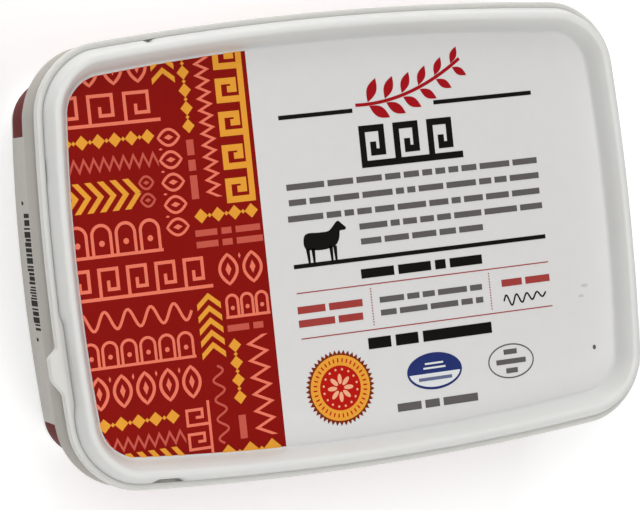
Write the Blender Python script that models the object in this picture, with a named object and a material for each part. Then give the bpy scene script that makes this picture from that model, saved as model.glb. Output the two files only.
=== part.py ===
"""A shut plastic tub of cheese in brine: a shallow rectangular tub, and the lid plugged into its rim.

Each piece is a stack of level outlines joined by quads, with a flat face at both ends. An outline is a
rounded rectangle whose sides bow out a little, and an inset says how far inside the rim's edge it runs.
Metres, +Z up, +X along the long side, origin on the table under the middle of the bounding box. The pack is
shut and can't be seen into, so the tub is solid up to the lid.
"""

import math
from collections import namedtuple

import bmesh
import bpy

# Outline of the rim's outer edge
RIM_LENGTH = 0.144
RIM_WIDTH = 0.1016
SHORT_SIDE_BOW = 0.0021
LONG_SIDE_BOW = 0.0036
CORNER_RADIUS = 0.0135
SMALLEST_RADIUS = 0.002

# Heights: the lid's flat panel is the datum, and the rim and the crest are measured from it
PANEL_HEIGHT = 0.0365
CREST_HEIGHT = PANEL_HEIGHT + 0.0046
RIM_TOP = PANEL_HEIGHT + 0.0005
LIP_BOTTOM = PANEL_HEIGHT - 0.0015
SHOULDER_TOP = PANEL_HEIGHT - 0.0100
SHOULDER_BOTTOM = SHOULDER_TOP - 0.0010

# Tub: insets of its wall from the rim's outer edge
FOOT_INSET = 0.0061
FOOT_RADIUS = 0.0045
WALL_TOP_INSET = 0.0022
COLLAR_INSET = 0.0004
LIP_ROUNDING = 0.0003
RIM_INNER_INSET = 0.0010

# Lid: insets of its skirt, crest and panel
SEATING_GAP = 0.0003
LID_THICKNESS = 0.0009
LID_BOTTOM = PANEL_HEIGHT - LID_THICKNESS
SKIRT_INSET = 0.00135
SKIRT_TOP = PANEL_HEIGHT + 0.0009
SKIRT_SHOULDER_INSET = 0.0018
SKIRT_SHOULDER_HEIGHT = PANEL_HEIGHT + 0.0026
CREST_OUTER_INSET = 0.0023
CREST_INNER_INSET = 0.0042
CREST_RISE = 0.0011
PANEL_INSET = 0.0066
PANEL_FILLET = 0.0007

# Lift tab on the rim's left short side, and the finger notch in the lid's skirt behind it
TAB_ENDS = (-0.0263, -0.0147)
TAB_REACH = 0.0023
TAB_RAMP = 0.0030
NOTCH_ENDS = (-0.0310, -0.0084)
NOTCH_DEPTH = 0.0013
NOTCH_RAMP = 0.0015

# Fineness of the outlines: steps in a corner, then along each side after the first corner
CORNER_STEPS = 8
SIDE_STEPS = (10, 36, 10, 10)
FOOT_STEPS = 4
CREST_STEPS = 6
FILLET_STEPS = 2
SMOOTH_BELOW_ANGLE = math.radians(35)

# Colours in linear light
TUB_COLOUR = (0.63, 0.62, 0.59, 1.0)
LID_COLOUR = (0.70, 0.70, 0.69, 1.0)
PLASTIC_ROUGHNESS = 0.32

# One outline of a piece: tab and notch say how much of the tab's reach and the notch's depth it takes
Level = namedtuple("Level", "inset height tab notch", defaults=(0.0, 0.0))


def corner_centres(half_x, half_y, radius):
    """Centres of the four corner arcs, counter-clockwise from the corner at +X +Y."""
    x = half_x - radius
    y = half_y - radius
    return [(x, y), (-x, y), (-x, -y), (x, -y)]


def on_arc(centre, radius, quarters):
    """Point of a corner arc, at an angle given in quarter turns from +X."""
    angle = math.pi / 2 * quarters
    return (centre[0] + radius * math.cos(angle), centre[1] + radius * math.sin(angle))


def straight_outline(half_x, half_y, radius):
    """Points of a rounded rectangle, counter-clockwise: each corner's arc, then the side that follows it."""
    points = []
    centres = corner_centres(half_x, half_y, radius)
    for quarter, centre in enumerate(centres):
        for step in range(CORNER_STEPS + 1):
            points.append(on_arc(centre, radius, quarter + step / CORNER_STEPS))
        start = points[-1]
        end = on_arc(centres[(quarter + 1) % 4], radius, quarter + 1)
        for step in range(1, SIDE_STEPS[quarter]):
            share = step / SIDE_STEPS[quarter]
            points.append((start[0] + share * (end[0] - start[0]), start[1] + share * (end[1] - start[1])))
    return points


def plateau(place, ends, ramp):
    """1 between two ends and 0 outside them, with a smooth ramp inside each end."""
    share = min(place - ends[0], ends[1] - place) / ramp
    share = min(max(share, 0.0), 1.0)
    return share * share * (3 - 2 * share)


def outline(level):
    """The level's points: a rounded rectangle with its sides bowed out, and the tab and notch on the left."""
    half_x = RIM_LENGTH / 2 - level.inset - SHORT_SIDE_BOW
    half_y = RIM_WIDTH / 2 - level.inset - LONG_SIDE_BOW
    radius = max(CORNER_RADIUS - level.inset, SMALLEST_RADIUS)
    points = []
    for x, y in straight_outline(half_x, half_y, radius):
        bowed_x = x + x / half_x * SHORT_SIDE_BOW * (1 - (y / half_y) ** 2)
        bowed_y = y + y / half_y * LONG_SIDE_BOW * (1 - (x / half_x) ** 2)
        if x < 0:
            bowed_x -= level.tab * TAB_REACH * plateau(bowed_y, TAB_ENDS, TAB_RAMP)
            bowed_x += level.notch * NOTCH_DEPTH * plateau(bowed_y, NOTCH_ENDS, NOTCH_RAMP)
        points.append((bowed_x, bowed_y, level.height))
    return points


def tub_levels():
    """Base, rounded foot, drafted wall, shoulder, collar, rim with its lip, and the flat under the lid."""
    levels = []
    for step in range(FOOT_STEPS + 1):
        angle = math.pi / 2 * step / FOOT_STEPS
        inset = FOOT_INSET + FOOT_RADIUS * (1 - math.sin(angle))
        levels.append(Level(inset, FOOT_RADIUS * (1 - math.cos(angle))))
    levels.append(Level(WALL_TOP_INSET, SHOULDER_BOTTOM))
    levels.append(Level(COLLAR_INSET, SHOULDER_TOP))
    levels.append(Level(COLLAR_INSET, LIP_BOTTOM - LIP_ROUNDING))
    levels.append(Level(0.0, LIP_BOTTOM, tab=1.0))
    levels.append(Level(0.0, RIM_TOP - LIP_ROUNDING, tab=1.0))
    levels.append(Level(LIP_ROUNDING, RIM_TOP, tab=1.0))
    levels.append(Level(RIM_INNER_INSET, RIM_TOP))
    levels.append(Level(RIM_INNER_INSET, LID_BOTTOM - SEATING_GAP))
    return levels


def lid_levels():
    """Flat underside, skirt, rounded crest, sloping inner wall and the fillet at the panel's edge."""
    levels = [
        Level(SKIRT_INSET, LID_BOTTOM, notch=1.0),
        Level(SKIRT_INSET, SKIRT_TOP, notch=1.0),
        Level(SKIRT_SHOULDER_INSET, SKIRT_SHOULDER_HEIGHT),
    ]
    crest_middle = (CREST_OUTER_INSET + CREST_INNER_INSET) / 2
    crest_half = (CREST_INNER_INSET - CREST_OUTER_INSET) / 2
    for step in range(CREST_STEPS + 1):
        angle = math.pi * step / CREST_STEPS
        height = CREST_HEIGHT - CREST_RISE * (1 - math.sin(angle))
        levels.append(Level(crest_middle - crest_half * math.cos(angle), height))
    for step in range(FILLET_STEPS + 1):
        share = step / FILLET_STEPS
        inset = PANEL_INSET - PANEL_FILLET * (1 - share)
        levels.append(Level(inset, PANEL_HEIGHT + PANEL_FILLET * (1 - share) ** 2))
    return levels


def plastic(name, colour):
    """Opaque moulded plastic of one colour."""
    material = bpy.data.materials.new(name)
    material.use_nodes = True
    shader = material.node_tree.nodes["Principled BSDF"]
    shader.inputs["Base Color"].default_value = colour
    shader.inputs["Roughness"].default_value = PLASTIC_ROUGHNESS
    shader.inputs["Metallic"].default_value = 0.0
    return material


def middle_x(levels):
    """Half way between the leftmost and the rightmost point of the levels."""
    xs = [point[0] for level in levels for point in outline(level)]
    return (min(xs) + max(xs)) / 2


def lofted(name, levels, material):
    """One closed body through the levels, given from the bottom outwards, up and in again."""
    shape = bmesh.new()
    rings = []
    for level in levels:
        rings.append([shape.verts.new(point) for point in outline(level)])
    count = len(rings[0])
    for lower, upper in zip(rings, rings[1:]):
        for here in range(count):
            after = (here + 1) % count
            shape.faces.new((lower[here], lower[after], upper[after], upper[here]))
    shape.faces.new(reversed(rings[0]))
    shape.faces.new(rings[-1])
    mesh = bpy.data.meshes.new(name)
    shape.to_mesh(mesh)
    shape.free()
    mesh.shade_smooth()
    mesh.set_sharp_from_angle(angle=SMOOTH_BELOW_ANGLE)
    mesh.materials.append(material)
    piece = bpy.data.objects.new(name, mesh)
    bpy.context.scene.collection.objects.link(piece)
    return piece


def build():
    """The tub, and the lid 0.3 mm clear of it. The tab lengthens the left side, so both move right."""
    for old in list(bpy.data.objects):
        bpy.data.objects.remove(old, do_unlink=True)
    tub = lofted("tub", tub_levels(), plastic("tub_plastic", TUB_COLOUR))
    lid = lofted("lid", lid_levels(), plastic("lid_plastic", LID_COLOUR))
    for piece in (tub, lid):
        piece.location.x = -middle_x(tub_levels())


build()
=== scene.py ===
"""Looks of a shut plastic tub of cheese: moulded tub and lid, printed panel, and label round the walls.

Lengths are metres. A piece is a profile carried round the rim's outline, or thin plates of ink laid on such
a surface. Print places are measured on the panel from its middle: x along the long side, y across it.
"""

import math
from collections import namedtuple

import bpy
import numpy as np
from mathutils import Matrix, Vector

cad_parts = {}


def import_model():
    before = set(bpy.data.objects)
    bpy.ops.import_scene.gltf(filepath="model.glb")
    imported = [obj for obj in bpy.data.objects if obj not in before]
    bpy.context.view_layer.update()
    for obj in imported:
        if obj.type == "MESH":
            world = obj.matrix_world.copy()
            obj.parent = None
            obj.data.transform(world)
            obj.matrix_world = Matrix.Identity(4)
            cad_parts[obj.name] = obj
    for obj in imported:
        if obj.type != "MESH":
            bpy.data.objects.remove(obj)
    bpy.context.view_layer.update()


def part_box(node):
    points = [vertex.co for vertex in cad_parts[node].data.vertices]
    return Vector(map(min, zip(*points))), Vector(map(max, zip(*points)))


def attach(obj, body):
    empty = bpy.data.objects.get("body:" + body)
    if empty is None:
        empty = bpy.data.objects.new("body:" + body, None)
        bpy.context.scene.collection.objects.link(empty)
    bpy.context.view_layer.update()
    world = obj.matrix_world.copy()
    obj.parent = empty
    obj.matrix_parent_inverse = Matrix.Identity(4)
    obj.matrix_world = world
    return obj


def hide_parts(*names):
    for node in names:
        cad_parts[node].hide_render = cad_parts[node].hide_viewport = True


MM = 0.001
QUARTER_TURN = math.pi / 2

# Rim outline and heights, as in the solids
RIM_LENGTH = 144.0 * MM
RIM_WIDTH = 101.6 * MM
SHORT_SIDE_BOW = 2.1 * MM
LONG_SIDE_BOW = 3.6 * MM
CORNER_RADIUS = 13.5 * MM
SMALLEST_RADIUS = 2.0 * MM
PANEL_HEIGHT = 36.5 * MM
CREST_HEIGHT = PANEL_HEIGHT + 4.6 * MM
RIM_TOP = PANEL_HEIGHT + 0.5 * MM
LIP_BOTTOM = PANEL_HEIGHT - 1.5 * MM
SHOULDER_TOP = PANEL_HEIGHT - 10.0 * MM
SHOULDER_BOTTOM = SHOULDER_TOP - 1.0 * MM
LID_BOTTOM = PANEL_HEIGHT - 0.9 * MM
GROOVE_FLOOR = LID_BOTTOM - 0.3 * MM
FOOT_INSET = 6.1 * MM
FOOT_CORNER_INSET = FOOT_INSET + 0.6 * MM
WALL_TOP_INSET = 2.2 * MM
WRAP_HEIGHTS = (5.0 * MM, 17.2 * MM)
WALL_LABEL_HEIGHTS = (2.6 * MM, 33.9 * MM)
PANEL_INSET = 6.35 * MM

# Lift tab, finger notch behind it, and the moulding slots in the lid's skirt: ends along the side
TAB_ENDS = (-26.3 * MM, -15.4 * MM)
TAB_REACH = 2.2 * MM
TAB_RAMPS = (4.4 * MM, 2.6 * MM)
NOTCH_ENDS = (-31.0 * MM, -8.4 * MM)
NOTCH_DEPTH = 0.6 * MM
NOTCH_RAMPS = (3.0 * MM, 3.0 * MM)
LEFT_SLOT_DEPTH = 0.12 * MM
SLOT_DEPTH = 0.9 * MM
SLOT_RAMPS = (0.6 * MM, 0.6 * MM)
LEFT_SLOT = (19.1 * MM, 24.9 * MM)
FRONT_SLOT = (-53.4 * MM, -47.0 * MM)
BACK_SLOT = (-44.7 * MM, -42.5 * MM)

# Fineness
CORNER_STEPS = 26
SIDE_STEPS = (90, 150, 90, 60)
FILLET_STEPS = 7
PANEL_RINGS = 6

# Heights of the print above its surface, one ink on another
UNDER_FILM = -0.03 * MM
LABEL_LIFT = 0.02 * MM
FIELD_LIFT = 0.05 * MM
INK_LIFT = 0.08 * MM
LAYER = 0.03 * MM

# Label: the red field ends at this x, and the rules share their ends
FIELD_RIGHT = -20.95 * MM
RULE_ENDS = (-14.6 * MM, 49.15 * MM)

# Refraction of the plastics, and sheen of the films. The walls' is low, because they are seen edge on
PLASTIC_IOR = 1.49
PANEL_SHEEN = 0.06
WALL_SHEEN = 0.002

# Photograph's camera, found from the lid's own outlines: distances from the middle of the panel
IMAGE_WIDTH = 640
FOCAL_PIXELS = 3214.7
SENSOR_WIDTH = 36.0
YAW = math.radians(25.06)
TILT = math.radians(2.12)
ROLL = math.radians(5.98)
CAMERA_OFFSET = (-6.871 * MM, -3.617 * MM, 714.85 * MM)

Place = namedtuple("Place", "right back angle")
Band = namedtuple("Band", "motif left low length height upright ink stroke")


def linear(code):
    """Linear light of an sRGB hex colour, with full alpha."""
    shares = [int(code[i : i + 2], 16) / 255 for i in (1, 3, 5)]
    return tuple(v / 12.92 if v <= 0.04045 else ((v + 0.055) / 1.055) ** 2.4 for v in shares) + (1.0,)


def add(tree, kind, inputs=None, **settings):
    """Adds a shader node. Inputs are values or sockets to link from; settings are the node's own fields."""
    new = tree.nodes.new(kind)
    for field, value in settings.items():
        setattr(new, field, value)
    for key, value in (inputs or {}).items():
        if isinstance(value, bpy.types.NodeSocket):
            tree.links.new(value, new.inputs[key])
        else:
            new.inputs[key].default_value = value
    return new


def empty_material(name):
    """A material with nothing but its output node."""
    material = bpy.data.materials.new(name)
    material.use_nodes = True
    tree = material.node_tree
    tree.nodes.clear()
    return material, tree, tree.nodes.new("ShaderNodeOutputMaterial")


def two_tones(tree, share, colour, shade):
    """Output socket of a mix from one sRGB colour to another."""
    mix = add(tree, "ShaderNodeMixRGB", {"Fac": share, "Color1": linear(colour), "Color2": linear(shade)})
    return mix.outputs["Color"]


def noise(tree, place, size, detail):
    """Output socket of a noise whose clouds are about the given size."""
    inputs = {"Vector": place, "Scale": 1 / size, "Detail": detail}
    return add(tree, "ShaderNodeTexNoise", inputs).outputs["Fac"]


def roughness_between(tree, share, low, high):
    """Output socket of a roughness that goes from low to high with the share."""
    inputs = {"Value": share, "To Min": low, "To Max": high}
    return add(tree, "ShaderNodeMapRange", inputs).outputs["Result"]


def relief(tree, share, depth):
    """Output socket of a normal bumped by the share, up to the depth."""
    inputs = {"Height": share, "Distance": depth, "Strength": 1.0}
    return add(tree, "ShaderNodeBump", inputs).outputs["Normal"]


def moulded_polypropylene(name, colour, shade, sheen):
    """Injection-moulded polypropylene, filled white. It gives the eye a satin skin, faint flow clouds and a
    fine orange peel."""
    cloud_size = 22 * MM
    peel_size = 1.1 * MM
    peel_depth = 0.006 * MM
    material, tree, output = empty_material(name)
    place = add(tree, "ShaderNodeTexCoord").outputs["Object"]
    clouds = noise(tree, place, cloud_size, 3.0)
    skin = add(
        tree,
        "ShaderNodeBsdfPrincipled",
        {
            "Base Color": two_tones(tree, clouds, colour, shade),
            "Roughness": roughness_between(tree, clouds, 0.30, 0.42),
            "IOR": PLASTIC_IOR,
            "Specular IOR Level": sheen,
            "Normal": relief(tree, noise(tree, place, peel_size, 2.0), peel_depth),
            "Subsurface Weight": 0.35,
            "Subsurface Radius": (3.2 * MM, 3.0 * MM, 2.6 * MM),
            "Subsurface Scale": 1.0,
        },
    )
    tree.links.new(skin.outputs["BSDF"], output.inputs["Surface"])
    return material


def printed_film(name, colour, shade, sheen=PANEL_SHEEN):
    """Ink on a polypropylene film moulded into the plastic. It gives the eye an even colour with a faint
    mottle, and a smooth satin gloss."""
    mottle_size = 3.5 * MM
    wave_size = 26 * MM
    wave_depth = 0.02 * MM
    material, tree, output = empty_material(name)
    place = add(tree, "ShaderNodeTexCoord").outputs["Object"]
    mottle = noise(tree, place, mottle_size, 2.0)
    film = add(
        tree,
        "ShaderNodeBsdfPrincipled",
        {
            "Base Color": two_tones(tree, mottle, colour, shade),
            "Roughness": roughness_between(tree, mottle, 0.26, 0.36),
            "IOR": PLASTIC_IOR,
            "Specular IOR Level": sheen,
            "Normal": relief(tree, noise(tree, place, wave_size, 1.0), wave_depth),
        },
    )
    tree.links.new(film.outputs["BSDF"], output.inputs["Surface"])
    return material


def stations():
    """Places round an outline, counter-clockwise. right and back run from -1 to 1 between the corners'
    centres. The angle is the direction from there to the outline: it turns on a corner, rests on a side."""
    signs = np.array([(1, 1), (-1, 1), (-1, -1), (1, -1)], float)
    rows = []
    for quarter, steps in enumerate(SIDE_STEPS):
        here = signs[quarter]
        after = signs[(quarter + 1) % 4]
        turn = np.linspace(0, 1, CORNER_STEPS + 1)[:, None]
        corner = np.repeat(here[None], len(turn), 0)
        rows.append(np.hstack([corner, QUARTER_TURN * (quarter + turn)]))
        slide = np.linspace(0, 1, steps + 1)[1:-1, None]
        resting = np.full_like(slide, QUARTER_TURN * (quarter + 1))
        rows.append(np.hstack([here + slide * (after - here), resting]))
    right, back, angle = np.concatenate(rows).T
    return Place(right, back, angle)


def outline(inset, place):
    """Rounded rectangle shrunk by the inset, its sides then bowed out by parabolas; from the lid's middle."""
    half_x = RIM_LENGTH / 2 - inset - SHORT_SIDE_BOW
    half_y = RIM_WIDTH / 2 - inset - LONG_SIDE_BOW
    radius = np.maximum(CORNER_RADIUS - inset, SMALLEST_RADIUS)
    x = place.right * (half_x - radius) + radius * np.cos(place.angle)
    y = place.back * (half_y - radius) + radius * np.sin(place.angle)
    bowed_x = x + x / half_x * SHORT_SIDE_BOW * (1 - (y / half_y) ** 2)
    bowed_y = y + y / half_y * LONG_SIDE_BOW * (1 - (x / half_x) ** 2)
    return bowed_x, bowed_y


def plateau(place, ends, ramps):
    """1 between two ends and 0 outside them, with a smooth ramp of its own length inside each end."""
    share = np.clip(np.minimum((place - ends[0]) / ramps[0], (ends[1] - place) / ramps[1]), 0, 1)
    return share * share * (3 - 2 * share)


def rounded_profile(corners):
    """Profile through corners of (inset, height, fillet, tab, notch). Each inner corner becomes a parabola
    that is tangent to both its sides at the fillet's distance. Tab and notch say how much of them a point
    takes."""
    corners = np.asarray(corners, float)
    path = corners[:, [0, 1, 3, 4]]
    middle = path[1:-1]
    back = path[:-2] - middle
    ahead = path[2:] - middle
    reach = corners[1:-1, 2:3]
    start = middle + back * reach / np.linalg.norm(back[:, :2], axis=1)[:, None]
    end = middle + ahead * reach / np.linalg.norm(ahead[:, :2], axis=1)[:, None]
    t = np.linspace(0, 1, FILLET_STEPS)[None, :, None]
    arcs = (1 - t) ** 2 * start[:, None] + 2 * t * (1 - t) * middle[:, None] + t**2 * end[:, None]
    return np.concatenate([path[:1], arcs.reshape(-1, 4), path[-1:]])


def closing_rings(ring, count, smallest=0.02):
    """Copies of a ring that shrink evenly to its middle: a flat end of even quads and a tiny last face."""
    middle = ring.mean(axis=0)
    share = np.linspace(1, smallest, count + 1)[1:, None, None]
    return middle + (ring - middle)[None] * share


def add_piece(name, points, faces, material, smooth=True):
    """One mesh object at the origin, riding on the root body."""
    mesh = bpy.data.meshes.new(name)
    mesh.from_pydata(np.asarray(points).reshape(-1, 3).tolist(), [], faces)
    mesh.materials.append(material)
    if smooth:
        mesh.shade_smooth()
    mesh.validate()
    piece = bpy.data.objects.new(name, mesh)
    bpy.context.scene.collection.objects.link(piece)
    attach(piece, "root")
    return piece


def ring_faces(rows, columns):
    """Quads between neighbouring rings of a stack, closed round, and one face over each end."""
    index = np.arange(rows * columns).reshape(rows, columns)
    after = np.roll(index, -1, axis=1)
    quads = np.stack([index[:-1], after[:-1], after[1:], index[1:]], axis=-1).reshape(-1, 4)
    return quads.tolist() + [index[0][::-1].tolist(), index[-1].tolist()]


def turned_shell(name, rings, material):
    """A closed body from a stack of rings given from the bottom outwards, up and in again."""
    return add_piece(name, rings, ring_faces(rings.shape[0], rings.shape[1]), material)


def tab_reach(x, y):
    """How far the lift tab moves the rim's left side outwards."""
    return np.where(x < 0, -TAB_REACH * plateau(y, TAB_ENDS, TAB_RAMPS), 0.0)


def notch_depth(x, y):
    """How far the finger notch moves the skirt's left side inwards."""
    return np.where(x < 0, NOTCH_DEPTH * plateau(y, NOTCH_ENDS, NOTCH_RAMPS), 0.0)


def slot_depth(x, y):
    """How far the three moulding slots move the skirt inwards, in x and in y."""
    on_left = x < -RIM_LENGTH * 0.4
    on_long_side = np.abs(y) > RIM_WIDTH * 0.4
    left = LEFT_SLOT_DEPTH * plateau(y, LEFT_SLOT, SLOT_RAMPS)
    front = SLOT_DEPTH * plateau(x, FRONT_SLOT, SLOT_RAMPS)
    back = -SLOT_DEPTH * plateau(x, BACK_SLOT, SLOT_RAMPS)
    return np.where(on_left, left, 0.0), np.where(on_long_side, np.where(y < 0, front, back), 0.0)


def carried(profile, place, middle_x, slotted=False):
    """Rings of a profile carried round the outline, pushed by the tab and the notch as the profile says."""
    inset, height, tab, notch = (profile[:, k : k + 1] for k in range(4))
    x, y = outline(inset, place)
    moved_x = x + tab * tab_reach(x, y) + notch * notch_depth(x, y)
    moved_y = y
    if slotted:
        slot_x, slot_y = slot_depth(x, y)
        moved_x = moved_x + notch * slot_x
        moved_y = moved_y + notch * slot_y
    return np.stack([middle_x + moved_x, moved_y, np.broadcast_to(height, x.shape)], axis=-1)


def tub_profile():
    """Foot ring round a shallow recess, rounded foot, drafted wall, shoulder, collar, rim with its lip, and
    the ledge and floor under the lid."""
    recess_rise = 0.5 * MM
    ledge = RIM_TOP - 0.06 * MM
    return rounded_profile(
        [
            (17.0 * MM, recess_rise, 0.0, 0.0, 0.0),
            (14.2 * MM, recess_rise, 0.6 * MM, 0.0, 0.0),
            (13.4 * MM, 0.0, 0.5 * MM, 0.0, 0.0),
            (FOOT_CORNER_INSET, 0.0, 4.2 * MM, 0.0, 0.0),
            (WALL_TOP_INSET, SHOULDER_BOTTOM, 0.7 * MM, 0.0, 0.0),
            (0.4 * MM, SHOULDER_TOP, 0.8 * MM, 0.0, 0.0),
            (0.4 * MM, LIP_BOTTOM - 0.3 * MM, 0.15 * MM, 0.0, 0.0),
            (0.0, LIP_BOTTOM, 0.15 * MM, 1.0, 0.0),
            (0.0, RIM_TOP, 0.35 * MM, 1.0, 0.0),
            (0.9 * MM, RIM_TOP, 0.15 * MM, 0.0, 0.0),
            (1.1 * MM, ledge, 0.1 * MM, 0.0, 0.0),
            (1.3 * MM, ledge, 0.05 * MM, 0.0, 1.0),
            (1.3 * MM, GROOVE_FLOOR, 0.2 * MM, 0.0, 1.0),
            (3.2 * MM, GROOVE_FLOOR, 0.0, 0.0, 0.0),
        ]
    )


def lid_profile():
    """Underside, skirt with the notch and slots, sloping shoulder, rounded crest, and inner wall down to the
    panel."""
    return rounded_profile(
        [
            (3.2 * MM, LID_BOTTOM, 0.0, 0.0, 1.0),
            (1.35 * MM, LID_BOTTOM, 0.15 * MM, 0.0, 1.0),
            (1.35 * MM, PANEL_HEIGHT + 1.2 * MM, 0.45 * MM, 0.0, 1.0),
            (1.8 * MM, PANEL_HEIGHT + 2.6 * MM, 0.5 * MM, 0.0, 0.45),
            (2.5 * MM, CREST_HEIGHT, 0.85 * MM, 0.0, 0.0),
            (3.85 * MM, CREST_HEIGHT, 0.5 * MM, 0.0, 0.0),
            (5.2 * MM, PANEL_HEIGHT + 2.9 * MM, 1.3 * MM, 0.0, 0.0),
            (PANEL_INSET, PANEL_HEIGHT, 0.7 * MM, 0.0, 0.0),
            (PANEL_INSET + 1.6 * MM, PANEL_HEIGHT, 0.0, 0.0, 0.0),
        ]
    )


def make_shell(name, profile, place, middle_x, material, slotted=False):
    """A moulded piece: its profile carried round, and both flat ends closed by shrinking rings."""
    rings = carried(profile, place, middle_x, slotted)
    bottom = closing_rings(rings[0], PANEL_RINGS)[::-1]
    top = closing_rings(rings[-1], PANEL_RINGS)
    return turned_shell(name, np.concatenate([bottom, rings, top]), material)


class Ink:
    """Collects the flat shapes of one ink, and makes them one mesh of thin closed plates on a surface."""

    def __init__(self, name, material, lift, surface):
        self.name = name
        self.material = material
        self.lift = lift
        self.surface = surface
        self.points = []
        self.faces = []
        self.count = 0

    def lay(self, flat, faces):
        """Adds rows of flat points, each laid once at the top and once at the bottom of the film."""
        top = self.surface(flat, self.lift)
        bottom = self.surface(flat, UNDER_FILM)
        self.points.append(np.concatenate([top, bottom]))
        self.faces.extend((faces + self.count).tolist())
        self.count += 2 * len(flat)

    def plates(self, outlines):
        """Outlines of shape (plates, corners, 2), counter-clockwise: each becomes a prism."""
        outlines = np.asarray(outlines, float)
        count, corners, _ = outlines.shape
        index = np.arange(count * corners).reshape(count, corners)
        under = index + count * corners
        after = np.roll(index, -1, axis=1)
        walls = np.stack([index, under, after + count * corners, after], axis=-1).reshape(-1, 4)
        flat = outlines.reshape(-1, 2)
        start = self.count
        self.lay(flat, walls)
        self.faces.extend((index + start).tolist())
        self.faces.extend((under[:, ::-1] + start).tolist())

    def ribbon(self, left, right, closed=False):
        """A strip between its left and its right bank, both lines of shape (points, 2)."""
        steps = len(left)
        index = np.arange(2 * steps).reshape(2, steps)
        under = index + 2 * steps
        here = slice(None) if closed else slice(0, steps - 1)
        lines = (index[0], index[1], under[1], under[0])
        quads = []
        for first, second in zip(lines, lines[1:] + lines[:1]):
            ahead_first = np.roll(first, -1)[here]
            ahead_second = np.roll(second, -1)[here]
            quads.append(np.stack([first[here], second[here], ahead_second, ahead_first], axis=-1))
        if not closed:
            quads.append(np.array([[under[0][0], under[1][0], index[1][0], index[0][0]]]))
            quads.append(np.array([[index[0][-1], index[1][-1], under[1][-1], under[0][-1]]]))
        self.lay(np.concatenate([left, right]), np.concatenate(quads))

    def line(self, path, width, closed=False):
        """A ribbon of even width along a path of points."""
        path = np.asarray(path, float)
        if closed:
            along = np.roll(path, -1, axis=0) - np.roll(path, 1, axis=0)
        else:
            along = np.gradient(path, axis=0)
        along /= np.linalg.norm(along, axis=1)[:, None]
        side = np.stack([-along[:, 1], along[:, 0]], axis=1) * width / 2
        self.ribbon(path + side, path - side, closed)

    def finish(self):
        """The mesh object of all shapes laid so far."""
        return add_piece(self.name, np.concatenate(self.points), self.faces, self.material, smooth=False)


def rectangles(left, low, width, height):
    """Outlines of upright rectangles, from arrays or numbers."""
    left, low, width, height = np.broadcast_arrays(*np.atleast_1d(left, low, width, height))
    x = np.stack([left, left + width, left + width, left], axis=1)
    y = np.stack([low, low, low + height, low + height], axis=1)
    return np.stack([x, y], axis=-1).astype(float)


def ellipse(middle, half_x, half_y, points=72, start=0.0, turn=2 * math.pi):
    """Points of an ellipse or of an arc of it, counter-clockwise."""
    whole = abs(turn) >= 2 * math.pi - 1e-9
    angle = start + np.linspace(0, turn, points, endpoint=not whole)
    return np.stack([middle[0] + half_x * np.cos(angle), middle[1] + half_y * np.sin(angle)], axis=1)


def units(length, wanted):
    """Starts of equal units that fill a length, and their pitch."""
    count = max(int(round(length / wanted)), 1)
    pitch = length / count
    return np.arange(count) * pitch, pitch


def key_band(ink, band, put):
    """Running key: on a base line, each unit rises, runs along the top, comes down and hooks back up."""
    start, pitch = units(band.length, band.height * 1.05)
    w, h = band.stroke, band.height
    far, low, hook, tip = 0.74 * pitch, 0.27 * h, 0.30 * pitch, 0.60 * h
    shapes = [
        rectangles(start, 0, pitch, w),
        rectangles(start, w, w, h - 2 * w),
        rectangles(start, h - w, far, w),
        rectangles(start + far - w, low + w, w, h - 2 * w - low),
        rectangles(start + hook, low, far - hook, w),
        rectangles(start + hook, low + w, w, tip - low - w),
    ]
    ink.plates(put(np.concatenate(shapes)))


def lozenge_band(ink, band, put):
    """Lozenges in a row with a small one between each two."""
    start, pitch = units(band.length, band.height * 1.25)
    shape = np.array([(-1, 0), (0, -1), (1, 0), (0, 1)], float)
    middle = np.stack([start + pitch / 2, np.full_like(start, band.height / 2)], axis=1)[:, None]
    large = middle + shape * [0.40 * pitch, band.height / 2]
    small = middle[:-1] + [pitch / 2, 0] + shape * [0.13 * pitch, 0.16 * band.height]
    ink.plates(put(np.concatenate([large, small])))


def chevron_band(ink, band, put):
    """Arrowheads one behind another."""
    start, pitch = units(band.length, band.stroke * 2.1)
    w, h, nose = band.stroke, band.height, 0.42 * band.height
    shape = np.array([(0, 0), (w, 0), (w + nose, h / 2), (w, h), (0, h), (nose, h / 2)])
    offset = np.stack([start, np.zeros_like(start)], axis=1)[:, None]
    ink.plates(put(offset + shape))


def zigzag_band(ink, band, put):
    """A zigzag line, its banks set apart along the height."""
    start, pitch = units(band.length, band.height * 0.8)
    s = np.arange(2 * len(start) + 1) * pitch / 2
    rise = band.height - band.stroke
    t = band.stroke / 2 + rise * (np.arange(len(s)) % 2)
    apart = band.stroke / 2 * math.hypot(pitch / 2, rise) / (pitch / 2)
    apart = min(apart, band.height * 0.3)
    left = put(np.stack([s, t + apart], axis=1))
    right = put(np.stack([s, t - apart], axis=1))
    ink.ribbon(left, right)


def arch_band(ink, band, put):
    """Round arches on a base line, with a dot under each."""
    start, pitch = units(band.length, band.height * 0.72)
    radius = 0.38 * pitch
    spring = band.height - band.stroke / 2 - radius
    arch = ellipse((0, spring), radius, radius, 15, math.pi, -math.pi)
    path = np.concatenate([[(-radius, band.stroke)], arch, [(radius, band.stroke)]])
    ink.plates(put(rectangles(0, 0, band.length, band.stroke)))
    for s in start + pitch / 2:
        ink.line(put(path + [s, 0]), band.stroke)
        ink.plates(put(ellipse((s, 0.42 * band.height), 0.09 * band.height, 0.09 * band.height, 10)[None]))


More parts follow.
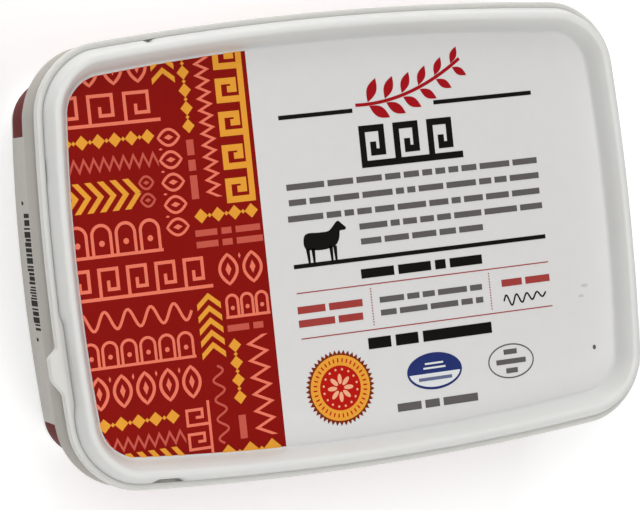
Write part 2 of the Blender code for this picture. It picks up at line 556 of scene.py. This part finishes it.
def leaf_band(ink, band, put):
    """Upright pointed ovals, each with a lozenge inside and a dot between each two."""
    start, pitch = units(band.length, band.height * 0.80)
    t = np.linspace(-1, 1, 13)
    rise = (band.height - band.stroke) / 2 * t
    swell = 0.36 * pitch * (1 - t * t)
    ring = np.concatenate([np.stack([swell, rise], axis=1), np.stack([-swell, -rise], axis=1)[1:-1]])
    lozenge = np.array([(-1, 0), (0, -1), (1, 0), (0, 1)]) * [0.12 * pitch, 0.2 * band.height]
    middle = np.stack([start + pitch / 2, np.full_like(start, band.height / 2)], axis=1)
    for place in middle:
        ink.line(put(ring + place), band.stroke, closed=True)
    ink.plates(put(middle[:, None] + lozenge))
    ink.plates(put(middle[:-1, None] + [pitch / 2, 0.38 * band.height] + 0.45 * lozenge))


def wave_band(ink, band, put):
    """A sine line."""
    start, pitch = units(band.length, band.height * 1.3)
    s = np.linspace(0, band.length, 14 * len(start) + 1)
    t = band.height / 2 + (band.height - band.stroke) / 2 * np.sin(2 * np.pi * s / pitch)
    ink.line(put(np.stack([s, t], axis=1)), band.stroke)


def dash_band(ink, band, put):
    """Bars of four lengths in turn."""
    lengths = np.array([5.2, 2.4, 6.6, 3.6]) * MM
    gap = 1.0 * MM
    ends = np.cumsum(np.tile(lengths + gap, 12))
    starts = np.concatenate([[0], ends[:-1]])
    kept = starts < band.length - 1.5 * MM
    widths = np.minimum(ends - gap, band.length)[kept] - starts[kept]
    ink.plates(put(rectangles(starts[kept], 0, widths, band.height)))


def placed(band):
    """Function from a band's own length and height to the panel: along x, or up along y when upright."""
    corner = np.array([band.left, band.low])
    if band.upright:
        return lambda st: corner + np.stack([band.height - st[..., 1], st[..., 0]], axis=-1)
    return lambda st: corner + st


MOTIFS = {
    "key": key_band,
    "lozenge": lozenge_band,
    "chevron": chevron_band,
    "zigzag": zigzag_band,
    "arch": arch_band,
    "leaf": leaf_band,
    "wave": wave_band,
    "dash": dash_band,
}


def field_bands():
    """The red field's ornament: bands of plain motifs along and up the field, in millimetres. Some run on
    under the lid's border, so that the panel's edge crops them."""
    rows = [
        # motif, left, low, length, height, upright, ink, stroke
        ("leaf", -61.0, 38.9, 17.0, 7.0, False, "pink", 0.7),
        ("key", -67.5, 30.3, 25.0, 7.0, False, "pink", 0.75),
        ("lozenge", -67.0, 25.6, 23.0, 3.2, False, "amber", 0.0),
        ("zigzag", -67.0, 20.7, 23.0, 3.0, False, "dull", 0.5),
        ("chevron", -67.5, 12.0, 17.5, 6.6, False, "amber", 1.45),
        ("leaf", -49.3, 11.6, 7.6, 3.8, True, "dull", 0.5),
        ("arch", -67.5, 2.2, 22.5, 7.4, False, "pink", 0.7),
        ("key", -67.5, -6.9, 33.2, 7.0, False, "pink", 0.75),
        ("wave", -67.0, -13.6, 27.0, 4.6, False, "pink", 0.65),
        ("arch", -66.5, -21.6, 26.5, 6.0, False, "pink", 0.62),
        ("leaf", -66.0, -30.4, 27.0, 7.4, False, "pink", 0.72),
        ("lozenge", -65.0, -35.2, 20.0, 3.1, False, "amber", 0.0),
        ("zigzag", -64.0, -39.6, 19.5, 2.9, False, "dull", 0.5),
        ("chevron", -59.0, -45.6, 13.5, 5.4, False, "amber", 1.35),
        ("chevron", -43.6, 38.2, 8.6, 5.4, True, "amber", 1.3),
        ("leaf", -43.9, 4.6, 24.4, 5.6, True, "pink", 0.6),
        ("dash", -37.1, 12.6, 13.0, 1.7, True, "dull", 0.0),
        ("lozenge", -37.6, 26.6, 19.5, 2.9, True, "amber", 0.0),
        ("zigzag", -33.4, 12.6, 33.0, 3.2, True, "pink", 0.55),
        ("key", -28.9, 10.9, 36.5, 6.9, True, "amber", 1.4),
        ("lozenge", -37.4, 7.2, 16.0, 3.2, False, "amber", 0.0),
        ("dash", -37.2, 4.4, 15.5, 1.4, False, "dull", 0.0),
        ("dash", -37.2, 1.9, 15.9, 1.4, False, "dull", 0.0),
        ("leaf", -33.2, -7.0, 11.6, 7.2, False, "pink", 0.7),
        ("chevron", -38.6, -22.4, 13.4, 5.6, True, "amber", 1.35),
        ("arch", -32.0, -14.2, 10.6, 5.4, False, "pink", 0.62),
        ("dash", -32.0, -17.0, 10.4, 1.4, False, "dull", 0.0),
        ("lozenge", -32.2, -33.4, 15.2, 3.0, True, "amber", 0.0),
        ("dash", -31.6, -40.6, 6.4, 1.7, True, "dull", 0.0),
        ("zigzag", -27.6, -40.6, 22.2, 4.6, True, "pink", 0.6),
        ("key", -44.0, -47.0, 15.8, 5.8, True, "pink", 0.62),
        ("wave", -36.9, -41.0, 17.0, 3.0, True, "dull", 0.5),
        ("lozenge", -37.4, -45.4, 15.8, 4.0, False, "amber", 0.0),
    ]
    return [Band(r[0], *(v * MM for v in r[1:5]), r[5], r[6], r[7] * MM) for r in rows]


def word_bars(ink, left, right, low, height, seed):
    """A line of bars as long as words, which fills the line from end to end."""
    gap = (0.45 + 0.3 * height / MM) * MM
    usual_pitch = 2.0 * MM + 2.9 * height
    shares = [2.2, 3.4, 4.6, 5.6, 6.8, 8.2]
    draw = np.random.default_rng(seed)
    count = max(int(round((right - left) / usual_pitch)), 2)
    widths = draw.choice(shares, count)
    widths *= (right - left - gap * (count - 1)) / widths.sum()
    starts = left + np.concatenate([[0], np.cumsum(widths + gap)[:-1]])
    ink.plates(rectangles(starts, low, widths, height))


def lay_rules(black, rust):
    """Two heavy black rules, the upper one open where the sprig stands, and two thin rust ones."""
    left, right = RULE_ENDS
    heavy = 0.95 * MM
    thin = 0.24 * MM
    upper, lower = 28.27 * MM, -4.74 * MM
    opening = (3.6 * MM, 24.0 * MM)
    black.plates(rectangles(left, upper - heavy / 2, opening[0] - left, heavy))
    black.plates(rectangles(opening[1], upper - heavy / 2, right - opening[1], heavy))
    black.plates(rectangles(left, lower - heavy / 2, right - left, heavy))
    for y in (-10.63 * MM, -20.73 * MM):
        rust.plates(rectangles(left, y - thin / 2, right - left, thin))


def lay_sprig(crimson):
    """A plain sprig: a stem that sags as a parabola, and pairs of leaves whose two sides are sines."""
    stem_start = np.array([4.5, 29.4]) * MM
    stem_end = np.array([31.6, 37.6]) * MM
    sag = np.array([0.0, -2.4 * MM])
    stem_width = 0.75 * MM
    leaf_length = 6.0 * MM
    half_width = 1.25 * MM
    leaf_angle = math.radians(48)
    leaf_offset = 0.45 * MM

    def on_stem(share):
        return stem_start + share * (stem_end - stem_start) + 4 * share * (1 - share) * sag

    crimson.line(on_stem(np.linspace(0, 1, 40)[:, None]), stem_width)
    t = np.linspace(0, 1, 9)
    upper = np.stack([t, np.sin(np.pi * t)], axis=1)
    lower = np.stack([t[::-1][1:-1], -np.sin(np.pi * t[::-1][1:-1])], axis=1)
    leaf = np.concatenate([lower[::-1], upper[::-1]]) * [leaf_length, half_width]
    heading = math.atan2(*(stem_end - stem_start)[::-1])
    across = np.array([-math.sin(heading), math.cos(heading)])
    for place in np.linspace(0.12, 0.92, 6):
        for side in (1, -1):
            angle = heading + side * leaf_angle
            turn = np.array([(math.cos(angle), math.sin(angle)), (-math.sin(angle), math.cos(angle))])
            size = 1.0 - 0.35 * place
            crimson.plates((on_stem(place) + side * across * leaf_offset + size * leaf @ turn)[None])


def lay_bold_key(black):
    """A bold running key below the upper rule."""
    band = Band("key", 4.6 * MM, 15.3 * MM, 25.6 * MM, 9.4 * MM, False, "black", 1.5 * MM)
    key_band(black, band, placed(band))


def lay_sheep(black):
    """A sheep standing on the lower rule, in millimetres: one smooth outline, clockwise, and its legs."""
    back = [(-11.6, 0.9), (-11.2, 1.9), (-10.1, 2.3), (-7.6, 2.2), (-5.4, 2.3)]
    head = [(-4.3, 3.1), (-3.4, 4.0), (-2.7, 4.3), (-1.9, 3.6), (-1.0, 2.7), (-1.3, 2.2), (-2.5, 2.1)]
    chest = [(-2.7, 1.2), (-3.0, 0.1), (-3.9, -1.0)]
    belly = [(-5.4, -1.5), (-7.6, -1.7), (-9.6, -1.5), (-11.0, -1.3), (-11.6, -0.4)]
    body = smooth_loop(np.array(back + head + chest + belly), 4)
    black.plates(body[::-1][None] * MM)
    tops = np.array([-11.2, -9.9, -5.5, -4.5])
    feet = np.array([-10.9, -9.7, -5.3, -4.3])
    width = 0.5
    ground, hip = -4.4, -1.1
    x = np.stack([feet, feet + width, tops + width * 1.7, tops - width * 0.1], axis=1)
    y = np.broadcast_to([ground, ground, hip, hip], x.shape)
    black.plates(np.stack([x, y], axis=-1) * MM)


def smooth_loop(keys, steps):
    """Closed curve through key points: between two, the cubic whose slopes follow their neighbours."""
    before, after, beyond = (np.roll(keys, k, axis=0) for k in (1, -1, -2))
    t = (np.arange(steps) / steps)[None, :, None]
    a, b, c, d = (v[:, None] for v in (before, keys, after, beyond))
    square = 2 * a - 5 * b + 4 * c - d
    cube = 3 * b - a - 3 * c + d
    return (0.5 * (2 * b + (c - a) * t + square * t**2 + cube * t**3)).reshape(-1, 2)


def lay_lines(inks):
    """Lines of bars: the paragraph, the bold lines, and the three columns between the thin rules."""
    lines = [
        # ink, left, right, low, height
        ("grey", -14.4, 48.9, 12.15, 1.35),
        ("grey", -14.2, 49.0, 8.7, 1.35),
        ("grey", -14.8, 48.8, 5.15, 1.35),
        ("grey", 2.4, 49.1, 1.75, 1.35),
        ("grey", 2.4, 33.3, -1.6, 1.35),
        ("black", 1.6, 32.2, -9.15, 2.1),
        ("rust", -14.8, 1.2, -15.2, 1.6),
        ("rust", -14.8, 1.0, -18.2, 1.6),
        ("grey", 5.5, 31.5, -15.0, 1.3),
        ("grey", 5.5, 31.5, -17.9, 1.3),
        ("rust", 36.6, 49.1, -15.0, 1.6),
        ("black", 1.6, 32.9, -25.0, 2.5),
        ("grey", 7.2, 27.6, -39.8, 1.8),
    ]
    for seed, (ink, left, right, low, height) in enumerate(lines):
        word_bars(inks[ink], left * MM, right * MM, low * MM, height * MM, seed)


def lay_separators(rust):
    """Two upright dotted lines between the columns."""
    dot = 0.28 * MM
    low = np.arange(-19.8, -11.7, 0.62) * MM
    for x in (3.5 * MM, 33.5 * MM):
        rust.plates(rectangles(x - dot / 2, low, dot, dot))


def lay_flourish(black):
    """A wavy pen line in the last column, in millimetres: a sine that shrinks and climbs a little."""
    left, right, middle = 36.8, 47.8, 42
    pen_width = 0.38
    x = np.linspace(left, right, 90)
    swing = 1.15 * np.sin((x - left) * 2.35) * (1.15 - (x - left) / 16)
    y = -18.0 + swing + 0.06 * (x - middle)
    black.line(np.stack([x, y], axis=1) * MM, pen_width * MM)


def lay_rosette(inks):
    """A plain round seal: toothed edge, amber ring with red ticks, and a red middle with a flower of eight
    petals in a ring of dots."""
    middle = np.array([-6.4, -32.6]) * MM
    tooth_radii = (8.45 * MM, 7.55 * MM)
    teeth = 46
    ring_radius = 7.3 * MM
    tick_radius = 6.15 * MM
    inner_radius = 5.0 * MM
    petal_radius = 2.0 * MM
    petal_half_length, petal_half_width = 1.15 * MM, 0.5 * MM
    dot_ring_radius = 4.15 * MM
    dot_radius = 0.26 * MM

    def directions(turn):
        away = np.array([math.cos(turn), math.sin(turn)])
        return away, np.array([-away[1], away[0]])

    edge = ellipse((0, 0), 1, 1, 2 * teeth) * np.tile(tooth_radii, teeth)[:, None]
    inks["seal"].plates((middle + edge)[None])
    inks["seal_ring"].plates(ellipse(middle, ring_radius, ring_radius)[None])
    tick = np.array([(-0.16, 0.45), (0.16, 0.45), (0.16, -0.45), (-0.16, -0.45)]) * MM
    for turn in np.arange(36) * math.pi / 18:
        away, side = directions(turn)
        spread = tick[:, :1] * side + tick[:, 1:] * away
        inks["seal_middle"].plates((middle + tick_radius * away + spread)[None])
    inks["seal_middle"].plates(ellipse(middle, inner_radius, inner_radius)[None])
    petal = ellipse((0, 0), petal_half_length, petal_half_width, 20)
    for turn in np.arange(8) * math.pi / 4:
        away, side = directions(turn)
        spread = petal[:, :1] * away + petal[:, 1:] * side
        inks["seal_figure"].plates((middle + petal_radius * away + spread)[None])
    for turn in (np.arange(16) + 0.5) * math.pi / 8:
        dot = middle + dot_ring_radius * directions(turn)[0]
        inks["seal_figure"].plates(ellipse(dot, dot_radius, dot_radius, 12)[None])


def centred_bar(ink, middle_x, low, width, height):
    """One bar centred on a place along the panel. Its low edge, width and height are in millimetres."""
    ink.plates(rectangles(middle_x - width * MM / 2, low * MM, width * MM, height * MM))


def lay_ovals(inks):
    """Two plain ovals: a blue one with a white lower half, and an outline with three bars."""
    middle = np.array([17.35, -31.75]) * MM
    half_x, half_y = 6.95 * MM, 4.15 * MM
    inks["blue"].plates(ellipse(middle, half_x, half_y)[None])
    white_start = math.radians(187)
    white_turn = math.radians(166)
    inks["white"].plates(ellipse(middle, 0.93 * half_x, 0.86 * half_y, 40, white_start, white_turn)[None])
    for low, width in ((-30.2, 4.6), (-31.2, 5.6)):
        centred_bar(inks["white"], middle[0], low, width, 0.42)
    centred_bar(inks["blue_bars"], middle[0], -33.8, 8.4, 0.75)
    outline_middle = np.array([37.0, -31.95]) * MM
    inks["grey"].line(ellipse(outline_middle, 5.75 * MM, 3.8 * MM, 96), 0.3 * MM, closed=True)
    for low, width in ((-30.4, 3.4), (-32.6, 7.6), (-34.7, 3.0)):
        centred_bar(inks["grey"], outline_middle[0], low, width, 1.15)


def lay_marks(grey, smudge):
    """The dark speck and the two faint smudges on the panel's right part."""
    speck = (59.0 * MM, -31.5 * MM)
    grey.plates(ellipse(speck, 0.42 * MM, 0.55 * MM, 14)[None])
    for x, y, size in ((58.0, -17.1, 0.9), (56.9, -19.4, 0.7)):
        smudge.plates(ellipse((x * MM, y * MM), size * MM, 0.45 * size * MM, 18, 0.4)[None])


def lay_label(material, place, surface):
    """The label's own film: the panel's outline as one plate."""
    film = Ink("label_film", material, LABEL_LIFT, surface)
    film.plates(np.stack(outline(PANEL_INSET + 0.1 * MM, place), axis=1)[None])
    return film.finish()


def lay_field(material, place, surface):
    """The red field: the part of the panel left of its straight edge, as one plate."""
    film = Ink("red_field", material, FIELD_LIFT, surface)
    x, y = outline(PANEL_INSET + 0.15 * MM, place)
    film.plates(np.stack([np.minimum(x, FIELD_RIGHT), y], axis=1)[None])
    return film.finish()


def wall_inset(height):
    """Inset of the tub's drafted wall at a height, from the foot's corner to the shoulder."""
    return FOOT_CORNER_INSET + (WALL_TOP_INSET - FOOT_CORNER_INSET) * height / SHOULDER_BOTTOM


def wrap_stations(half_turn, end):
    """Places along one long wall and round both its corners, to the same place on either short side."""
    short_steps, long_steps = 6, 90
    corner_place = RIM_WIDTH / 2 - LONG_SIDE_BOW - CORNER_RADIUS
    first = np.linspace(end / corner_place, 1, short_steps)
    last = np.linspace(1, end / corner_place, short_steps)
    along = np.linspace(1, -1, long_steps)
    corner = np.linspace(0, QUARTER_TURN, CORNER_STEPS + 1)
    short, level = np.ones(short_steps), np.ones_like(corner)
    right = np.concatenate([short, level, along, -level, -short])
    back = np.concatenate([first, level, np.ones(long_steps), level, last])
    facing_back = np.full(long_steps, QUARTER_TURN)
    facing_side = np.full(short_steps, 2 * QUARTER_TURN)
    angle = np.concatenate([0 * short, corner, facing_back, QUARTER_TURN + corner, facing_side])
    moved = np.abs(np.diff(right)) + np.abs(np.diff(back)) + np.abs(np.diff(angle)) > 1e-9
    kept = np.concatenate([[True], moved])
    sign = -1.0 if half_turn else 1.0
    return Place(sign * right[kept], sign * back[kept], angle[kept] + (math.pi if half_turn else 0.0))


def make_wrap(name, material, place, middle_x):
    """The red film on a long wall and round its corners: a closed thin profile carried along part of the
    outline."""
    heights = np.linspace(*WRAP_HEIGHTS, 5)
    none = np.zeros_like(heights)
    outer = np.stack([wall_inset(heights) - FIELD_LIFT, heights, none, none], axis=1)
    inner = np.stack([wall_inset(heights) - UNDER_FILM, heights, none, none], axis=1)[::-1]
    rings = carried(np.concatenate([outer, inner]), place, middle_x)
    index = np.arange(rings.shape[0] * rings.shape[1]).reshape(rings.shape[:2])
    above = np.roll(index, -1, axis=0)
    quads = np.stack([index[:, :-1], index[:, 1:], above[:, 1:], above[:, :-1]], axis=-1).reshape(-1, 4)
    faces = quads.tolist() + [index[:, 0].tolist(), index[::-1, -1].tolist()]
    return add_piece(name, rings, faces, material, smooth=False)


def make_wall_label(material, place, middle_x):
    """The white label round the walls: the tub's profile between two heights, moved out along its normals
    for the face and in for the back, and carried right round as a closed thin shell."""
    low, high = WALL_LABEL_HEIGHTS
    profile = tub_profile()
    foot = int(np.argmin(profile[:, 1]))
    rim = int(np.argmin(profile[:, 0]))
    wall = profile[foot:rim]
    heights = np.concatenate([[low], wall[(wall[:, 1] > low) & (wall[:, 1] < high), 1], [high]])
    insets = np.interp(heights, wall[:, 1], wall[:, 0])
    path = np.stack([insets, heights], axis=1)
    along = np.gradient(path, axis=0)
    normals = np.stack([-along[:, 1], along[:, 0]], axis=1) / np.linalg.norm(along, axis=1)[:, None]
    face = path + normals * LABEL_LIFT
    back = (path + normals * UNDER_FILM)[::-1]
    loop = np.concatenate([face, back])
    rings = carried(np.hstack([loop, np.zeros_like(loop)]), place, middle_x)
    index = np.arange(rings.shape[0] * rings.shape[1]).reshape(rings.shape[:2])
    above = np.roll(index, -1, axis=0)
    quads = np.stack([index, np.roll(index, -1, axis=1), np.roll(above, -1, axis=1), above], axis=-1)
    return add_piece("wall_label", rings, quads.reshape(-1, 4).tolist(), material)


def lay_code(ink):
    """Bars of random widths on the left end wall, which say nothing, and a dot at either end."""
    first, last, high = -13.2 * MM, 13.0 * MM, 19.2 * MM
    bars = 60
    draw = np.random.default_rng(5)
    width = draw.choice([0.4, 0.6, 0.95, 1.3], bars) * MM
    gap = draw.choice([0.22, 0.3, 0.45], bars) * MM
    start = first + np.concatenate([[0], np.cumsum(width + gap)[:-1]])
    kept = start + width < last
    low = draw.choice([11.3, 11.6, 12.6], bars) * MM
    ink.plates(rectangles(start[kept], low[kept], width[kept], (high - low)[kept]))
    for u, height in ((-15.5, 12.0), (14.7, 13.0)):
        ink.plates(ellipse((u * MM, height * MM), 0.45 * MM, 1.2 * MM, 12)[None])


def make_wall_print(middle_x, place):
    """White label, red films on the long walls with a band of motifs each, and bars on the left end wall. The
    wall label, the red films and their inks are darker copies of the panel's: painted shade on the walls.
    """

    def end_wall(points, lift):
        u, height = points[..., 0], points[..., 1]
        inset = wall_inset(height) - lift
        half_y = RIM_WIDTH / 2 - inset - LONG_SIDE_BOW
        x = inset + SHORT_SIDE_BOW * (u / half_y) ** 2 - RIM_LENGTH / 2
        return np.stack([middle_x + x, -u, height], axis=-1)

    def long_wall(sign):
        def surface(points, lift):
            u, height = points[..., 0], points[..., 1]
            inset = wall_inset(height) - lift
            half_x = RIM_LENGTH / 2 - inset - SHORT_SIDE_BOW
            y = RIM_WIDTH / 2 - inset - LONG_SIDE_BOW * (u / half_x) ** 2
            return np.stack([middle_x - sign * u, sign * y, height], axis=-1)

        return surface

    # The wall label is the panel's white film made grey: painted shade on the walls
    make_wall_label(printed_film("wall_film_painted_shade", "#BDB9B2", "#B7B3AC", 0.01), place, middle_x)
    # The wrap's red and its pink and amber inks are the field's red and inks made darker: painted shade on
    # the long walls
    red = printed_film("wrap_film_painted_shade", "#68100D", "#600E0B", WALL_SHEEN)
    pink = printed_film("wrap_pink_ink_painted_shade", "#D86E57", "#D06650", WALL_SHEEN)
    amber = printed_film("wrap_amber_ink_painted_shade", "#D8942F", "#CE8A30", WALL_SHEEN)
    make_wrap("back_wrap", red, wrap_stations(False, 30.0 * MM), middle_x)
    make_wrap("front_wrap", red, wrap_stations(True, 33.5 * MM), middle_x)
    for side, sign in (("back", 1.0), ("front", -1.0)):
        pinks = Ink(side + "_wrap_keys", pink, INK_LIFT, long_wall(sign))
        ambers = Ink(side + "_wrap_lozenges", amber, INK_LIFT, long_wall(sign))
        for left in (-53.0, 16.0):
            band = Band("key", left * MM, 7.4 * MM, 37.0 * MM, 7.0 * MM, False, "pink", 0.75 * MM)
            key_band(pinks, band, placed(band))
        band = Band("lozenge", -12.5 * MM, 8.4 * MM, 25.0 * MM, 5.0 * MM, False, "amber", 0.0)
        lozenge_band(ambers, band, placed(band))
        pinks.finish()
        ambers.finish()
    code_ink = printed_film("code_ink", "#1A1815", "#22201C", WALL_SHEEN)
    code = Ink("code_ticks", code_ink, FIELD_LIFT, end_wall)
    lay_code(code)
    code.finish()


def make_print(middle_x, place):
    """Label, red field and every ink on them."""

    def panel(points, lift):
        x = middle_x + points[..., 0]
        return np.stack([x, points[..., 1], np.full_like(x, PANEL_HEIGHT + lift)], axis=-1)

    lay_label(printed_film("white_film", "#D9D8D6", "#D5D4D2", 0.2), place, panel)
    lay_field(printed_film("red_film", "#8A100A", "#820E08"), place, panel)
    pattern = {
        "pink": Ink("pink_motifs", printed_film("pink_ink", "#EC7C62", "#E4745C"), INK_LIFT, panel),
        "amber": Ink("amber_motifs", printed_film("amber_ink", "#E9A235", "#DF9636"), INK_LIFT, panel),
        "dull": Ink("dull_pink_motifs", printed_film("dull_pink_ink", "#C75A4A", "#BE5446"), INK_LIFT, panel),
    }
    for band in field_bands():
        MOTIFS[band.motif](pattern[band.ink], band, placed(band))
    recipes = {
        # piece, material, colour, second colour, layers below it
        "black": ("black_print", "black_ink", "#100E0C", "#161412", 0),
        "grey": ("grey_print", "grey_ink", "#5A5756", "#625F5E", 0),
        "rust": ("rust_print", "rust_ink", "#9A3A36", "#A2423E", 0),
        "crimson": ("emblem", "crimson_ink", "#A3121B", "#9A1119", 0),
        "seal": ("seal_edge", "brick_ink", "#7E2A12", "#762610", 0),
        "seal_ring": ("seal_ring", "seal_amber_ink", "#E9A23A", "#E09A36", 1),
        "seal_middle": ("seal_middle", "seal_red_ink", "#B8170F", "#AE150E", 2),
        "seal_figure": ("seal_figure", "peach_ink", "#F0B08A", "#E8A882", 3),
        "blue": ("blue_oval", "blue_ink", "#232F66", "#2A3670", 0),
        "white": ("oval_white", "oval_white_ink", "#DEDFE0", "#D8D9DB", 1),
        "blue_bars": ("oval_bars", "slate_ink", "#5C6684", "#646E8A", 2),
        "smudge": ("smudges", "smudge_film", "#C2C0BF", "#C8C6C5", 0),
    }
    inks = {
        key: Ink(piece, printed_film(material, colour, shade), INK_LIFT + layers * LAYER, panel)
        for key, (piece, material, colour, shade, layers) in recipes.items()
    }
    lay_rules(inks["black"], inks["rust"])
    lay_sprig(inks["crimson"])
    lay_bold_key(inks["black"])
    lay_sheep(inks["black"])
    lay_lines(inks)
    lay_separators(inks["rust"])
    lay_flourish(inks["black"])
    lay_rosette(inks)
    lay_ovals(inks)
    lay_marks(inks["grey"], inks["smudge"])
    for ink in list(pattern.values()) + list(inks.values()):
        ink.finish()


def make_camera(middle_x):
    """The photograph's camera, turned about the panel's middle by its yaw, tilt and roll."""
    cy, sy = math.cos(YAW), math.sin(YAW)
    ct, st = math.cos(TILT), math.sin(TILT)
    cr, sr = math.cos(ROLL), math.sin(ROLL)
    about_y = np.array([[cy, 0, sy], [0, 1, 0], [-sy, 0, cy]])
    about_x = np.array([[1, 0, 0], [0, ct, -st], [0, st, ct]])
    about_z = np.array([[cr, -sr, 0], [sr, cr, 0], [0, 0, 1]])
    turn = about_z @ about_x @ about_y
    matrix = np.eye(4)
    matrix[:3, :3] = turn.T
    matrix[:3, 3] = turn.T @ np.array(CAMERA_OFFSET) + [middle_x, 0, PANEL_HEIGHT]
    data = bpy.data.cameras.new("camera")
    data.sensor_fit = "HORIZONTAL"
    data.sensor_width = SENSOR_WIDTH
    data.lens = FOCAL_PIXELS / IMAGE_WIDTH * SENSOR_WIDTH
    data.clip_start = 0.01
    camera = bpy.data.objects.new("camera", data)
    camera.matrix_world = Matrix(matrix)
    bpy.context.scene.collection.objects.link(camera)
    bpy.context.scene.camera = camera


def make_floor():
    """A pale plain floor, a little self-lit so that it stays nearly white."""
    reach = 2.0
    material, tree, output = empty_material("floor_paper")
    paper = add(
        tree,
        "ShaderNodeBsdfPrincipled",
        {
            "Base Color": linear("#F4F4F4"),
            "Roughness": 0.9,
            "Emission Color": linear("#FFFFFF"),
            "Emission Strength": 0.3,
        },
    )
    tree.links.new(paper.outputs["BSDF"], output.inputs["Surface"])
    mesh = bpy.data.meshes.new("floor")
    corners = [(-reach, -reach, 0), (reach, -reach, 0), (reach, reach, 0), (-reach, reach, 0)]
    mesh.from_pydata(corners, [], [(0, 1, 2, 3)])
    mesh.materials.append(material)
    floor = bpy.data.objects.new("floor", mesh)
    bpy.context.scene.collection.objects.link(floor)


def add_softbox(name, place, aim, size, power):
    """A white square area light that looks at a point. Its size is in metres and its power in watts."""
    data = bpy.data.lights.new(name, "AREA")
    data.shape = "SQUARE"
    data.size = size
    data.energy = power
    light = bpy.data.objects.new(name, data)
    back = np.array(place, float) - np.array(aim, float)
    back /= np.linalg.norm(back)
    side = np.cross([0.0, 0.0, 1.0], back)
    side /= np.linalg.norm(side)
    up = np.cross(back, side)
    matrix = np.eye(4)
    matrix[:3, :3] = np.stack([side, up, back], axis=1)
    matrix[:3, 3] = place
    light.matrix_world = Matrix(matrix)
    bpy.context.scene.collection.objects.link(light)


def light_studio():
    """Soft lights above, behind, in front and high on the left, in a surround that gives no light."""
    scene = bpy.context.scene
    scene.view_settings.view_transform = "Standard"
    scene.view_settings.look = "None"
    world = bpy.data.worlds.new("surround")
    world.use_nodes = True
    world.node_tree.nodes["Background"].inputs["Strength"].default_value = 0.0
    scene.world = world
    middle = (0.0, 0.0, 0.03)
    add_softbox("overhead", (0.05, 0.15, 1.2), middle, 1.3, 4.8)
    add_softbox("back", (0.1, 1.0, 0.45), middle, 0.8, 6.4)
    add_softbox("front", (0.1, -0.75, 0.8), middle, 0.8, 5.8)
    add_softbox("high_left", (-0.6, 0.3, 1.0), middle, 0.8, 4.9)


def main():
    """Frame, moulded pieces, print, studio and camera."""
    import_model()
    low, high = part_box("lid")
    middle_x = (low.x + high.x) / 2
    place = stations()
    tub_plastic = moulded_polypropylene("tub_polypropylene", "#D8D7D3", "#D2D1CC", 0.1)
    lid_plastic = moulded_polypropylene("lid_polypropylene", "#E0E0DD", "#DADAD7", 0.4)
    tub = make_shell("tub_shell", tub_profile(), place, middle_x, tub_plastic)
    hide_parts("tub")
    lid = make_shell("lid_shell", lid_profile(), place, middle_x, lid_plastic, slotted=True)
    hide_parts("lid")
    make_print(middle_x, place)
    make_wall_print(middle_x, place)
    make_floor()
    light_studio()
    make_camera(middle_x)


main()
